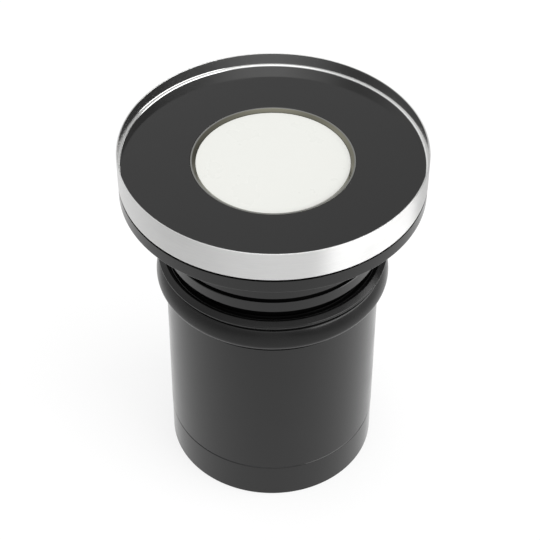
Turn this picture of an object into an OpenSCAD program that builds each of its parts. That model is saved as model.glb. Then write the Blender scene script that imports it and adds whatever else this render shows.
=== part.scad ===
// Round recessed floor light. A sealed light unit drops into a mounting sleeve
// that a rubber grip collar holds in a drilled hole.
// Millimetres. The origin is the centre of the end cap's base, and +Z is up.

/* [Bezel ring] */
// Outer diameter of the bezel ring
bezel_d = 60; // [57:0.5:66]
// Height of the bezel ring
bezel_h = 6.5; // [6:0.1:8]
// Wall of the rim that stands above the cover
rim_wall = 0.25; // [0.2:0.05:0.4]
// Wall of the skirt beside the cover
skirt_wall = 0.5; // [0.4:0.05:0.65]
// Depth of the recess, from the rim down to the lip
recess_depth = 2.65; // [2:0.05:3]
// Width of the sloping lip, seen from above
lip_w = 0.56; // [0.45:0.02:0.8]
// Fall of the lip towards the cover
lip_drop = 0.21; // [0.1:0.01:0.4]
// Thickness of the lip at its inner edge
lip_edge = 0.09; // [0.05:0.01:0.2]
// Rounding of the ring's lower edge
bezel_round = 0.3; // [0.1:0.05:0.35]
// Shadow gap between the bezel ring and the flange
bezel_gap = 0.35; // [0.2:0.05:0.6]

/* [Cover and window] */
// Thickness of the black cover
cover_t = 2; // [1.6:0.1:2.2]
// Thickness of the gasket under the cover
cover_gasket_t = 0.6; // [0.4:0.1:0.8]
// Radial width of that gasket
cover_gasket_w = 3; // [2:0.5:5]
// Diameter of the hole in the cover
window_d = 32; // [26:0.2:33]
// Width of the trim ring's flat top
trim_land = 0.35; // [0.2:0.05:0.5]
// Width of the trim ring's bevel, seen from above
trim_bevel_w = 0.6; // [0.4:0.05:0.8]
// Height of the trim ring's bevel
trim_bevel_h = 0.55; // [0.4:0.05:0.8]
// Height of the pocket for the lens in the cover's back
lens_pocket_h = 0.8; // [0.5:0.1:1]
// Width of the lens's clamped edge outside the hole
lens_edge_w = 1.3; // [1:0.1:1.6]
// Thickness of the lens's clamped edge
lens_edge_t = 1.2; // [1:0.1:1.4]
// Thickness of the seal under the lens
lens_seal_t = 0.6; // [0.4:0.1:0.8]

/* [Flange and neck] */
// Thickness of the flange plate
plate_t = 2.8; // [2.5:0.1:4]
// How far the plate's edge stands inside the bezel's
plate_inset = 0.05; // [0.05:0.05:0.5]
// Depth of the shadow gap inside the plate's edge
gap_depth = 1.05; // [0.6:0.05:1.2]
// How far the neck under the plate stands out past the sleeve tube's side
neck_reach = 0.05; // [0:0.05:0.5]
// Height of the neck
neck_h = 9.75; // [8.5:0.25:14]
// Fillet where the neck meets the plate
neck_fillet = 0.6; // [0.3:0.1:1]
// Gap between the lens seal and the flange's pocket
pocket_gap = 0.85; // [0.5:0.05:1.2]

/* [Rear barrel] */
// How far the barrel's shoulder stands out past the sleeve tube's side
shoulder_reach = 0.05; // [0:0.05:0.5]
// Height of the shoulder
shoulder_h = 2.95; // [2.5:0.05:5]
// Rounding of the shoulder's lower edge
shoulder_round = 0.8; // [0.4:0.1:1.2]
// Height of the groove between neck and shoulder, filled by a seal
groove_h = 1.1; // [0.6:0.1:1.5]
// Height of the spigot that screws into the neck
spigot_h = 4.8; // [4:0.1:6]
// Wall of the spigot round the heat plate
spigot_wall = 2; // [1.6:0.1:2.6]
// Gap between the cooling fins and the sleeve's bore
fin_gap = 0.6; // [0.4:0.1:1]
// Depth of the spaces between the cooling fins
fin_depth = 1.7; // [1.2:0.1:1.9]
// Number of cooling fins
fin_count = 24; // [12:2:30]
// Thickness of each fin
fin_t = 1.4; // [1:0.1:1.8]
// Wall of the barrel between the fins
barrel_wall = 1.5; // [1.2:0.1:1.8]
// Width of the ledge under the heat plate
heat_ledge_w = 1; // [0.8:0.1:1.4]
// Width of the ledge under the driver board
driver_ledge_w = 1.2; // [0.9:0.1:1.6]
// Thickness of the barrel's floor
barrel_floor_t = 3; // [2.5:0.1:4]
// Section of the two grip rings
grip_ring_t = 1.9; // [1.7:0.1:2.1]
// Height of the solid wall above and below each grip ring
band_edge = 1.1; // [0.8:0.1:1.6]
// Depth of the plain band that shows between shoulder and sleeve
plain_band_h = 3; // [2.5:0.1:4]
// Height of the fins' feet below the lower grip ring
fin_foot = 2.4; // [2:0.1:4]

/* [Light engine] */
// Depth of the ledge for the heat plate below the shoulder's top
heat_ledge_depth = 1.1; // [0.8:0.1:1.6]
// Thickness of the heat plate
heat_plate_t = 3; // [2.4:0.1:3.4]
// Thickness of the thermal pad
thermal_pad_t = 0.5; // [0.3:0.1:1]
// Thickness of the lamp board and the driver board
board_t = 1.6; // [1:0.2:2]
// Side of one light emitting package
chip_w = 2.8; // [2.4:0.1:3]
// Height of one package
chip_h = 0.7; // [0.4:0.1:1]
// Radius of the ring of packages
chip_ring_r = 3.9; // [3.8:0.1:4]
// Wall of the reflector
reflector_wall = 1.2; // [0.8:0.1:1.5]
// Inner radius of the reflector's foot on the lamp board
reflector_foot_r = 6.2; // [6.1:0.1:7]
// Height of the reflector's rim
reflector_rim_h = 1.2; // [0.8:0.1:1.6]
// Width of the step that carries the reflector's rim
reflector_step_w = 1.25; // [1:0.05:1.5]
// Distance of a board screw's head from the board's edge
screw_margin = 1; // [0.6:0.1:1.4]
// Diameter of a board screw
screw_d = 2.5; // [2:0.1:3]
// Length of a board screw under its head
screw_len = 4.5; // [4:0.1:4.8]
// Diameter of a board screw's head
screw_head_d = 4.6; // [4:0.1:5]
// Height of a board screw's head
screw_head_h = 1.6; // [1.2:0.1:2]
// Diameter of a lead between driver and lamp board
lead_d = 1.1; // [0.8:0.1:1.4]
// Distance of the leads from the driver board's edge
lead_margin = 3.4; // [3:0.1:4]
// Distance between the two leads
lead_pitch = 3.2; // [2.8:0.1:4]

/* [Driver] */
// Depth of the driver board's ledge below the heat plate
driver_ledge_depth = 10.1; // [8:0.1:12]
// Free height under the tallest part below the driver board
under_board_gap = 2.45; // [1.5:0.05:4]
// Gap between the parts below the board and the barrel's wall
part_gap = 1.5; // [0.8:0.1:2]
// Diameter of the smoothing capacitor
capacitor_d = 9; // [8:0.5:10]
// Length of the smoothing capacitor
capacitor_len = 10.5; // [8:0.5:11]
// Outer diameter of the choke
choke_d = 9.5; // [8:0.5:10]
// Hole through the choke's core
choke_hole_d = 3.5; // [3:0.25:4.5]
// Height of the choke
choke_h = 4.5; // [3.5:0.25:6]
// Width of the terminal block
terminal_w = 10; // [9:0.5:11]
// Depth of the terminal block
terminal_depth = 6.5; // [5.5:0.5:7]
// Diameter of the terminal block's wire holes
terminal_hole_d = 2.8; // [2:0.1:3]
// Height of the terminal block
terminal_h = 8; // [6:0.5:9]
// Side of the controller and of the bridge on top of the board
controller_w = 6; // [5:0.2:6.6]
// Other side of those two packages
controller_len = 5; // [4:0.2:5.6]
// Height of the controller
controller_h = 1.8; // [1.2:0.1:2.2]
// Height of the bridge
bridge_h = 2.4; // [1.6:0.1:3]
// Side of the regulator on top of the board
regulator_w = 4; // [3:0.2:4.4]
// Height of the regulator
regulator_h = 1.2; // [0.8:0.1:1.6]
// Length of a small resistor on top of the board
resistor_len = 1.6; // [1.2:0.1:1.7]
// Width of a small resistor
resistor_w = 1.2; // [0.8:0.1:1.6]
// Height of a small resistor
resistor_h = 0.9; // [0.5:0.1:1.2]
// Distance between two small resistors
resistor_pitch = 2; // [1.8:0.1:2.2]
// Distance of the packages from the board's middle
package_gap = 3; // [2.6:0.1:3.4]

/* [Cable gland] */
// Diameter of the gland's thread in the barrel's floor
gland_thread_d = 12; // [10:0.5:13]
// Width across flats of the gland's hexagon
gland_hex = 15; // [14:0.5:18]
// Height of the gland's hexagon
gland_hex_h = 3; // [2.5:0.5:5]
// Thickness of the gland's flat washer
gland_washer_t = 0.8; // [0.6:0.1:1.2]
// Diameter of the gland's lower thread
gland_low_d = 10.4; // [10:0.2:11]
// Length of the gland's lower thread
gland_low_len = 6.2; // [5:0.2:7]
// Outer diameter of the gland's rubber bush
gland_bush_d = 8.4; // [7:0.2:8.6]
// Diameter of the cable that the gland takes
cable_d = 5.2; // [4.6:0.2:5.6]
// Width across flats of the gland nut
gland_nut_hex = 14; // [13:0.5:17]
// Gap between the tightened gland nut and the hexagon above it
gland_nut_gap = 0.2; // [0.1:0.1:1]
// Thickness of the gland nut's end
gland_nut_end_t = 1.5; // [1:0.1:2]
// Size of the chamfer round the gland nut's end
gland_nut_chamfer = 1.6; // [0.8:0.1:2]

/* [Mounting sleeve] */
// Outer diameter of the sleeve tube
sleeve_d = 43.2; // [42.8:0.1:46]
// Wall of the sleeve tube
sleeve_wall = 1.5; // [1.2:0.1:1.6]
// Length of the sleeve tube
sleeve_len = 43.6; // [42:0.2:55]
// Gap between the sleeve's collar and the barrel's shoulder
mouth_gap = 1.55; // [1:0.05:3]
// Width of the ledge that carries the light unit
ledge_w = 2.5; // [2:0.1:4]
// Thickness of that ledge
ledge_t = 1.5; // [1:0.1:3]
// Chamfer on both sides of the seam between tube and end cap
seam_chamfer = 0.2; // [0.1:0.05:0.4]

/* [Grip collar] */
// Depth of the seat that the collar sits in, round the tube's end
collar_seat_depth = 0.4; // [0.2:0.1:0.6]
// Height of the seat that stays bare under the collar's foot
collar_seat_bare = 0.25; // [0.1:0.05:0.4]
// Height of the collar
collar_h = 8.3; // [7.5:0.05:10]
// How far the collar stands above the end of the tube
collar_rise = 0.5; // [0.3:0.1:1]
// How far the upper ridge stands out past the tube's side
ridge_reach = 1.6; // [1.4:0.05:1.8]
// How far the ridge's top edge stands out past the tube's side
ridge_top_reach = 0.35; // [0.2:0.05:0.6]
// Height of the ridge's sloping top
ridge_fall = 0.8; // [0.6:0.05:1]
// Height of the ridge's narrow edge
ridge_edge_h = 0.45; // [0.3:0.05:0.6]
// Height of the crease under the ridge
crease_h = 0.85; // [0.6:0.05:1]
// Depth of the crease behind the waist
crease_depth = 0.45; // [0.3:0.05:0.6]
// How far the waist under the crease stands out past the tube's side
waist_reach = 1.2; // [1:0.05:1.3]
// Height of the waist
waist_h = 0.45; // [0.3:0.05:0.6]
// How far the lower bead stands out past the tube's side
bead_reach = 1.85; // [1.7:0.05:2.4]
// Height of the bead's sloping side
bead_fall = 3.25; // [2.8:0.05:3.6]
// Height of the bead's narrow edge
bead_edge_h = 0.65; // [0.4:0.05:0.8]
// How far both narrow edges lean inwards on their way down
edge_taper = 0.1; // [0.05:0.01:0.2]

/* [End cap] */
// How far the end cap's side stands inside the tube's
cap_inset = 0.05; // [0:0.05:0.4]
// Height of the end cap below the seam
cap_h = 8.45; // [7:0.05:12]
// Thickness of the cap's floor
cap_floor_t = 2.5; // [2.2:0.1:4]
// Wall of the spigot that enters the tube
cap_spigot_wall = 1.6; // [1.4:0.1:2]
// Height of that spigot
cap_spigot_h = 4.6; // [4:0.2:7]
// Section of the seal ring on the spigot
cap_seal_t = 1.1; // [0.9:0.1:1.2]
// Chamfer round the cap's base
cap_chamfer = 0.1; // [0.1:0.05:1]
// Diameter of the hole for the grommet
grommet_hole_d = 10; // [9.6:0.2:12]
// Width of the grommet's two flanges outside that hole
grommet_flange_w = 1.8; // [1.2:0.1:2.4]
// Thickness of the grommet's upper flange
grommet_flange_t = 1.2; // [0.8:0.1:1.6]
// Bore of the grommet
grommet_bore_d = 6.6; // [6:0.2:7.2]
// Depth of the recess under the cap for the grommet
grommet_recess = 1; // [0.8:0.1:1.2]
// Number of drain holes in the cap
drain_count = 4; // [3:1:8]
// Diameter of a drain hole
drain_d = 3.2; // [2:0.2:4]
// Radius of the circle of drain holes
drain_circle_r = 13.2; // [12:0.2:14]

/* [Fits] */
// Radial clearance of pieces that are pressed, screwed or bonded together
slip = 0.05; // [0.03:0.01:0.1]
// Radial clearance of rubber rings in the sleeve's bore
sliding = 0.08; // [0.05:0.01:0.1]

/* [Hidden] */
$fn = 96;

// Thread play of a screwed pair, and a small gap under a piece that bottoms out
thread_play = slip * 2;
end_play = slip * 2;

// How far a cutting shape runs past the face that it cuts
cut = 1;

// Heights, from the base up
seam_z = cap_h;
tube_top_z = seam_z + sleeve_len;
collar_top_z = tube_top_z + collar_rise;
collar_foot_z = collar_top_z - collar_h;
shoulder_z = collar_top_z + mouth_gap;
shoulder_top_z = shoulder_z + shoulder_h;
neck_z = shoulder_top_z + groove_h;
plate_z = neck_z + neck_h;
plate_top_z = plate_z + plate_t;
bezel_z = plate_top_z + bezel_gap;
rim_z = bezel_z + bezel_h;
lip_z = rim_z - recess_depth;
cover_top_z = lip_z - lip_drop - lip_edge;
cover_z = cover_top_z - cover_t;
land_top_z = cover_z - cover_gasket_t;
spigot_top_z = shoulder_top_z + spigot_h;

// The window's stack, from the cover down to the reflector
lens_edge_top_z = cover_z + lens_pocket_h;
lens_edge_z = lens_edge_top_z - lens_edge_t;
lens_top_z = cover_top_z - trim_bevel_h;
reflector_top_z = lens_edge_z - lens_seal_t;
reflector_rim_z = reflector_top_z - reflector_rim_h;

// The light engine's stack, from the barrel's ledge up
heat_plate_z = shoulder_top_z - heat_ledge_depth;
pad_z = heat_plate_z + heat_plate_t;
lamp_board_z = pad_z + thermal_pad_t;
lamp_board_top_z = lamp_board_z + board_t;
driver_z = heat_plate_z - driver_ledge_depth;
driver_top_z = driver_z + board_t;
barrel_floor_z = driver_z - max(capacitor_len, choke_h, terminal_h) - under_board_gap;
barrel_z = barrel_floor_z - barrel_floor_t;

// Radii
bezel_r = bezel_d / 2;
skirt_r = bezel_r - skirt_wall;
cover_r = skirt_r - slip;
plate_r = bezel_r - plate_inset;
land_r = plate_r - gap_depth;
window_r = window_d / 2;
trim_bore_r = window_r - slip - trim_land - trim_bevel_w;
lens_edge_r = window_r + lens_edge_w;
pocket_r = lens_edge_r + pocket_gap;
neck_bore_r = pocket_r - reflector_step_w;
reflector_rim_r = pocket_r - slip * 2;
sleeve_r = sleeve_d / 2;
sleeve_bore_r = sleeve_r - sleeve_wall;
fins_r = sleeve_bore_r - fin_gap;
core_r = fins_r - fin_depth;
barrel_bore_r = core_r - barrel_wall;
low_bore_r = barrel_bore_r - driver_ledge_w;
driver_board_r = barrel_bore_r - slip * 4;
heat_bore_r = barrel_bore_r + heat_ledge_w;
heat_plate_r = heat_bore_r - slip * 2;
spigot_r = heat_bore_r + spigot_wall;
cap_spigot_r = sleeve_bore_r - slip;
cap_bore_r = cap_spigot_r - cap_spigot_wall;

// Places on the boards, as angles round the axis and distances from it
screw_count = 3;
chip_count = 6;
screw_circle_r = heat_plate_r - screw_head_d / 2 - screw_margin;
lead_holes = [for (side = [-1, 1]) [side * lead_pitch / 2, lead_margin - driver_board_r]];
capacitor_turn = 165;
capacitor_out = low_bore_r - capacitor_d / 2 - part_gap;
choke_turn = 47;
choke_out = low_bore_r - choke_d / 2 - part_gap;
terminal_turn = 285;
terminal_out = sqrt(pow(low_bore_r - part_gap, 2) - pow(terminal_w / 2, 2)) - terminal_depth / 2;

// Points of a circular arc in a profile, in degrees
function arc(x, y, r, from, to, steps = 8) =
    [for (i = [0:steps]) [x + r * cos(from + (to - from) * i / steps),
        y + r * sin(from + (to - from) * i / steps)]];

// A flat ring between two heights
module washer(outer_r, inner_r, low, high) {
    translate([0, 0, low]) difference() {
        cylinder(r = outer_r, h = high - low);
        translate([0, 0, -cut]) cylinder(r = inner_r, h = high - low + cut * 2);
    }
}

// A hexagon prism, measured across its flats
hex_sides = 6;
hex_ratio = 1 / cos(180 / hex_sides);

module hexagon(flats, low, high) {
    translate([0, 0, low]) cylinder(d = flats * hex_ratio, h = high - low, $fn = hex_sides);
}

// A ring of round section, such as a seal
module round_ring(ring_r, section_r, z) {
    translate([0, 0, z]) rotate_extrude() translate([ring_r, 0]) circle(r = section_r, $fn = 48);
}

// Copies round the axis
module around(count, start = 0) {
    for (i = [0:count - 1]) rotate([0, 0, start + i * 360 / count]) children();
}

// Turned ring with a thin standing rim, a sloping lip and a skirt round the cover
module bezel_ring() {
    rim_r = bezel_r - rim_wall;
    color("silver") rotate_extrude() polygon(concat([
        [skirt_r, bezel_z]],
        arc(bezel_r - bezel_round, bezel_z + bezel_round, bezel_round, -90, 0, 4), [
        [bezel_r, rim_z], [rim_r, rim_z], [rim_r, lip_z], [rim_r - lip_w, lip_z - lip_drop],
        [rim_r - lip_w, cover_top_z], [skirt_r, cover_top_z]]));
}

// Gloss black disc with the window hole and a pocket for the lens behind it
module cover_plate() {
    color("#2b2b2b") difference() {
        washer(cover_r, window_r, cover_z, cover_top_z);
        translate([0, 0, cover_z - cut])
            cylinder(r = lens_edge_r + slip, h = lens_pocket_h + cut);
    }
}

// Thin metal ring in the window hole, with a flat top and a bevel down to the lens
module window_trim() {
    outer_r = window_r - slip;
    color("#8c8c80") rotate_extrude() polygon([
        [trim_bore_r, lens_edge_top_z], [outer_r, lens_edge_top_z], [outer_r, cover_top_z],
        [outer_r - trim_land, cover_top_z], [trim_bore_r, lens_top_z]]);
}

// Opal lens: a raised centre that fills the trim ring, and a clamped edge
module window_lens() {
    color("white") rotate_extrude() polygon([
        [0, lens_edge_z], [lens_edge_r, lens_edge_z], [lens_edge_r, lens_edge_top_z],
        [trim_bore_r - slip, lens_edge_top_z], [trim_bore_r - slip, lens_top_z],
        [0, lens_top_z]]);
}

// Flat seal between the lens's edge and the reflector's rim
module lens_seal() {
    color("#202020") washer(lens_edge_r, window_r - slip, reflector_top_z, lens_edge_z);
}

// Flat gasket between the cover and the flange
module cover_gasket() {
    color("#181818") washer(land_r, land_r - cover_gasket_w, land_top_z, cover_z);
}

// Casting with the flange plate, the neck, and the seats for reflector and barrel
module flange_body() {
    neck_r = sleeve_r + neck_reach;
    socket_r = spigot_r + thread_play;
    edge = 0.2;
    color("#3a3a3a") rotate_extrude() polygon(concat([
        [land_r, land_top_z], [land_r, plate_top_z], [plate_r, plate_top_z],
        [plate_r, plate_z + edge], [plate_r - edge, plate_z]],
        arc(neck_r + neck_fillet, plate_z - neck_fillet, neck_fillet, 90, 180, 6), [
        [neck_r, neck_z], [socket_r, neck_z], [socket_r, spigot_top_z + end_play],
        [neck_bore_r, spigot_top_z + end_play], [neck_bore_r, reflector_rim_z],
        [pocket_r, reflector_rim_z], [pocket_r, land_top_z]]));
}

// White cup that spreads the light from the lamp board to the lens
module reflector() {
    mouth_r = trim_bore_r;
    foot_r = reflector_foot_r;
    color("white") rotate_extrude() polygon([
        [foot_r, lamp_board_top_z], [foot_r + reflector_wall, lamp_board_top_z],
        [mouth_r + reflector_wall, reflector_rim_z], [reflector_rim_r, reflector_rim_z],
        [reflector_rim_r, reflector_top_z], [mouth_r, reflector_top_z]]);
}

// Metal core board with clearance holes for the screws and the leads
module lamp_board() {
    color("#e8e8e0") difference() {
        translate([0, 0, lamp_board_z]) cylinder(r = heat_plate_r, h = board_t);
        board_screw_holes(lamp_board_z, board_t);
        lead_wire_holes(lamp_board_z, board_t);
    }
}

// Six packages in a ring and one in the middle, soldered flat on the board
module light_chips() {
    color("#e6c84a") translate([-chip_w / 2, -chip_w / 2, lamp_board_top_z]) {
        cube([chip_w, chip_w, chip_h]);
        for (i = [0:chip_count - 1])
            translate([chip_ring_r * cos(i * 60), chip_ring_r * sin(i * 60), 0])
                cube([chip_w, chip_w, chip_h]);
    }
}

// Soft pad that carries heat from the board to the heat plate
module thermal_pad() {
    color("#9aa7b8") difference() {
        translate([0, 0, pad_z]) cylinder(r = heat_plate_r, h = thermal_pad_t);
        board_screw_holes(pad_z, thermal_pad_t);
        lead_wire_holes(pad_z, thermal_pad_t);
    }
}

// Aluminium disc on the barrel's ledge, drilled for the screws and the leads
module heat_plate() {
    color("#b8bcc0") difference() {
        translate([0, 0, heat_plate_z]) cylinder(r = heat_plate_r, h = heat_plate_t);
        board_screw_holes(heat_plate_z, heat_plate_t);
        lead_wire_holes(heat_plate_z, heat_plate_t);
    }
}

// Clearance holes through one layer of the light engine
module board_screw_holes(z, depth) {
    around(screw_count, 90) translate([screw_circle_r, 0, z - cut])
        cylinder(d = screw_d + slip * 2, h = depth + cut * 2, $fn = 32);
}

module lead_wire_holes(z, depth) {
    for (at = lead_holes) translate([at[0], at[1], z - cut])
        cylinder(d = lead_d + slip * 4, h = depth + cut * 2, $fn = 32);
}

// Pan head screws that hold the lamp board down
module board_screws() {
    color("#c8ccd0") around(screw_count, 90) translate([screw_circle_r, 0, lamp_board_top_z]) {
        difference() {
            cylinder(d = screw_head_d, h = screw_head_h, $fn = 32);
            hexagon(screw_d * 0.6, screw_head_h / 2, screw_head_h + cut);
        }
        translate([0, 0, -screw_len]) cylinder(d = screw_d, h = screw_len, $fn = 32);
    }
}

// Two leads from the driver board up to solder pads on the lamp board
module lead_wires() {
    solder_d = lead_d * 2;
    solder_h = 0.5;
    color("#b03a2e") for (at = lead_holes) translate([at[0], at[1], driver_top_z]) {
        cylinder(d = lead_d, h = lamp_board_top_z - driver_top_z + solder_h, $fn = 32);
        translate([0, 0, lamp_board_top_z - driver_top_z])
            cylinder(d1 = solder_d, d2 = lead_d, h = solder_h, $fn = 32);
    }
}

// Flat seal in the groove between the neck and the shoulder
module barrel_seal() {
    inner_r = spigot_r + slip;
    color("#141414") washer(inner_r + 1.1, inner_r, shoulder_top_z, neck_z);
}

// Profile of the barrel without its fins, from the floor up to the spigot
module barrel_core() {
    round_r = shoulder_round;
    shoulder_r = sleeve_r + shoulder_reach;
    edge = 0.1;
    rotate_extrude() polygon(concat([
        [gland_thread_d / 2 + thread_play, barrel_z], [core_r, barrel_z],
        [core_r, shoulder_z]],
        arc(shoulder_r - round_r, shoulder_z + round_r, round_r, -90, 0, 6), [
        [shoulder_r, shoulder_top_z - edge], [shoulder_r - edge, shoulder_top_z],
        [spigot_r, shoulder_top_z], [spigot_r, spigot_top_z], [heat_bore_r, spigot_top_z],
        [heat_bore_r, heat_plate_z], [barrel_bore_r, heat_plate_z],
        [barrel_bore_r, driver_z], [low_bore_r, driver_z], [low_bore_r, barrel_floor_z],
        [gland_thread_d / 2 + thread_play, barrel_floor_z]]));
}

// Cooling fins along the barrel, each starting inside the wall
fin_root_r = core_r - barrel_wall / 3;

module barrel_fins() {
    around(fin_count) translate([fin_root_r, -fin_t / 2, barrel_z])
        cube([fins_r - fin_root_r, fin_t, shoulder_z - barrel_z]);
}

// Solid band between two heights, with a groove for the grip ring at height z
module ring_band(low, z, high) {
    groove_r = sleeve_bore_r - sliding - grip_ring_t - slip;
    rotate_extrude() polygon([
        [fin_root_r, low], [fins_r, low], [fins_r, z - ring_half], [groove_r, z - ring_half],
        [groove_r, z + ring_half], [fins_r, z + ring_half], [fins_r, high],
        [fin_root_r, high]]);
}

// The grooves are a little wider than the rings
ring_half = grip_ring_t / 2 + slip * 2;
low_ring_z = barrel_z + fin_foot + band_edge + ring_half;
high_ring_z = shoulder_z - plain_band_h - ring_half;
band_spans = [[low_ring_z - ring_half - band_edge, low_ring_z, low_ring_z + ring_half + band_edge],
    [high_ring_z - ring_half - band_edge, high_ring_z, shoulder_z]];

// Finned housing for the driver, with the shoulder, the spigot and two ring grooves
module rear_barrel() {
    color("#333333") {
        barrel_core();
        difference() {
            barrel_fins();
            for (span = band_spans) washer(fins_r + cut, fin_root_r - cut, span[0], span[2]);
        }
        for (span = band_spans) ring_band(span[0], span[1], span[2]);
    }
}

// Two rubber rings that grip the sleeve's bore
module grip_rings() {
    section_r = grip_ring_t / 2;
    ring_r = sleeve_bore_r - sliding - section_r;
    color("#101010") for (span = band_spans) round_ring(ring_r, section_r, span[1]);
}

// Round circuit board on its ledge in the barrel
module driver_board() {
    color("#1f6b3a") translate([0, 0, driver_z]) cylinder(r = driver_board_r, h = board_t);
}

// Controller, bridge and small parts on the board's upper face
module driver_chips() {
    color("#222222") translate([0, 0, driver_top_z]) {
        translate([-package_gap - controller_w, package_gap, 0])
            cube([controller_w, controller_len, controller_h]);
        translate([package_gap, package_gap, 0])
            cube([controller_len, controller_w, bridge_h]);
        translate([-regulator_w / 2, -package_gap - regulator_w / 2, 0])
            cube([regulator_w, regulator_w * 0.75, regulator_h]);
        for (row = [0, 1], column = [0, 1])
            translate([package_gap * 2 + resistor_pitch * column,
                resistor_pitch * (row - 1) - package_gap, 0])
                cube([resistor_w, resistor_len, resistor_h]);
    }
}

// Can hanging under the driver board
module smoothing_capacitor() {
    edge = 0.6;
    color("#30405a") rotate(capacitor_turn) translate([capacitor_out, 0,
        driver_z - capacitor_len]) {
        cylinder(d1 = capacitor_d - edge * 2, d2 = capacitor_d, h = edge, $fn = 48);
        translate([0, 0, edge]) cylinder(d = capacitor_d, h = capacitor_len - edge, $fn = 48);
    }
}

// Wound core hanging under the driver board, with grooves between its bunched turns
module choke_coil() {
    winding_d = choke_d * 0.15;
    color("#a8642a") rotate(choke_turn) translate([choke_out, 0, 0]) difference() {
        washer(choke_d / 2, choke_hole_d / 2, driver_z - choke_h, driver_z);
        around(10) translate([choke_d / 2 + winding_d / 5, 0, driver_z - choke_h - cut])
            cylinder(d = winding_d, h = choke_h + cut * 2, $fn = 24);
    }
}

// Two way block that takes the supply leads under the driver board
module terminal_block() {
    color("#d8d8d8") rotate(terminal_turn) translate([terminal_out, 0,
        driver_z - terminal_h]) difference() {
        translate([-terminal_depth / 2, -terminal_w / 2, 0])
            cube([terminal_depth, terminal_w, terminal_h]);
        for (side = [-1, 1]) translate([0, side * terminal_w / 4, -cut])
            cylinder(d = terminal_hole_d, h = terminal_h / 2 + cut, $fn = 32);
    }
}

// Flat washer under the gland's hexagon
module gland_washer() {
    color("#141414") washer(gland_hex / 2, gland_thread_d / 2 + thread_play,
        barrel_z - gland_washer_t, barrel_z);
}

// Gland with one thread in the barrel's floor and one for its nut
gland_hex_z = barrel_z - gland_washer_t - gland_hex_h;
gland_low_z = gland_hex_z - gland_low_len;
gland_bush_top_z = gland_hex_z + gland_hex_h / 2;

module gland_body() {
    color("#2a2a2a") difference() {
        union() {
            translate([0, 0, gland_hex_z]) cylinder(d = gland_thread_d,
                h = barrel_floor_z - gland_hex_z);
            hexagon(gland_hex, gland_hex_z, gland_hex_z + gland_hex_h);
            translate([0, 0, gland_low_z]) cylinder(d = gland_low_d,
                h = gland_hex_z - gland_low_z + cut);
        }
        translate([0, 0, gland_low_z - cut]) cylinder(r = gland_bush_d / 2 + slip,
            h = gland_bush_top_z - gland_low_z + cut);
        translate([0, 0, gland_low_z]) cylinder(d = cable_d + 0.8,
            h = barrel_floor_z - gland_low_z + cut);
    }
}

// Rubber bush that the nut squeezes on the cable
module gland_bush() {
    color("#101010") washer(gland_bush_d / 2, cable_d / 2, gland_nut_z + gland_nut_end_t,
        gland_bush_top_z);
}

gland_nut_z = gland_low_z - gland_nut_end_t;

// Domed nut on the gland's lower thread
module gland_nut() {
    hole_r = cable_d / 2 + 0.5;
    corner_r = gland_nut_hex / 2 * hex_ratio;
    nut_top_z = gland_hex_z - gland_nut_gap;
    nut_h = nut_top_z - gland_nut_z;
    color("#2a2a2a") difference() {
        intersection() {
            hexagon(gland_nut_hex, gland_nut_z, nut_top_z);
            translate([0, 0, gland_nut_z]) cylinder(r1 = corner_r - gland_nut_chamfer,
                r2 = corner_r - gland_nut_chamfer + nut_h, h = nut_h);
        }
        translate([0, 0, gland_low_z]) cylinder(d = gland_low_d + thread_play * 2, h = nut_h);
        translate([0, 0, gland_nut_z - cut])
            cylinder(r = hole_r, h = gland_nut_end_t + cut * 2);
    }
}

// Plain tube with a ledge inside that carries the barrel
module sleeve_tube() {
    ledge_r = sleeve_bore_r - ledge_w;
    color("#3a3a3a") rotate_extrude() polygon([
        [sleeve_bore_r, seam_z], [sleeve_r - seam_chamfer, seam_z],
        [sleeve_r, seam_z + seam_chamfer], [sleeve_r, collar_foot_z - collar_seat_bare],
        [collar_seat_r, collar_foot_z - collar_seat_bare], [collar_seat_r, tube_top_z],
        [sleeve_bore_r, tube_top_z], [sleeve_bore_r, barrel_z], [ledge_r, barrel_z],
        [ledge_r, barrel_z - ledge_t], [sleeve_bore_r, barrel_z - ledge_t - ledge_w]]);
}

// Rubber collar on the tube's end. A ridge and a broad bead slope outwards on their way
// down, each to a narrow edge, with a crease and a waist between them
collar_seat_r = sleeve_r - collar_seat_depth;

module grip_collar() {
    inner_r = collar_seat_r + slip;
    ridge_out = sleeve_r + ridge_reach;
    waist_r = sleeve_r + waist_reach;
    bead_out = sleeve_r + bead_reach;
    ridge_z = collar_top_z - ridge_fall;
    ridge_low_z = ridge_z - ridge_edge_h;
    waist_z = ridge_low_z - crease_h;
    waist_low_z = waist_z - waist_h;
    bead_z = waist_low_z - bead_fall;
    color("#2e2e2e") rotate_extrude() polygon([
        [inner_r, collar_foot_z], [sleeve_r, collar_foot_z],
        [bead_out - edge_taper, bead_z - bead_edge_h], [bead_out, bead_z],
        [waist_r, waist_low_z], [waist_r, waist_z], [waist_r - crease_depth, waist_z],
        [waist_r - crease_depth, ridge_low_z], [ridge_out - edge_taper, ridge_low_z],
        [ridge_out, ridge_z], [sleeve_r + ridge_top_reach, collar_top_z],
        [inner_r, collar_top_z]]);
}

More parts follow.
